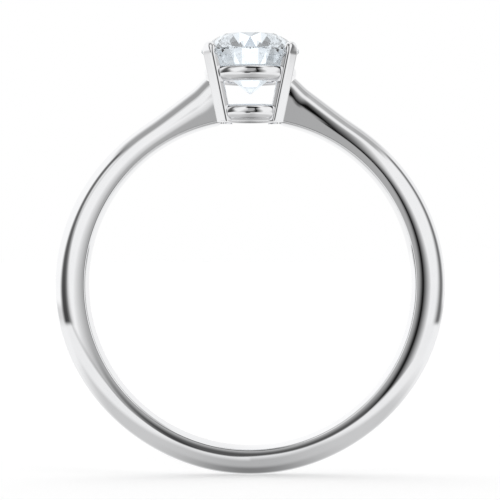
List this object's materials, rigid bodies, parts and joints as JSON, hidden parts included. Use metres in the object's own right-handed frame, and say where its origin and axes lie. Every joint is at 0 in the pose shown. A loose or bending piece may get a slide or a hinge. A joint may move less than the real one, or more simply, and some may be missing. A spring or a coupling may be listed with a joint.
{
  "type": "engagement ring",
  "caption": "Solitaire engagement ring in polished white metal: a round brilliant stone in a claw head with gallery rails, on a half-round band with cathedral shoulders.",
  "frame": {"origin": "centre of the finger hole, midway across the band", "axes": "+Z from the finger to the stone, Y along the finger, X across it from shoulder to shoulder"},
  "size_m": [0.02, 0.005, 0.0226],
  "materials": {
    "white_gold": "mirror-polished rhodium-plated white gold",
    "diamond": "colourless, flat polished facets"
  },
  "bodies": {
    "root": {"shank": "white_gold", "shoulder_left": "white_gold", "shoulder_right": "white_gold", "upper_gallery_rail": "white_gold", "lower_gallery_rail": "white_gold", "claw_front_left": "white_gold", "claw_front_right": "white_gold", "claw_back_left": "white_gold", "claw_back_right": "white_gold", "diamond": "diamond"}
  },
  "joints": []
}
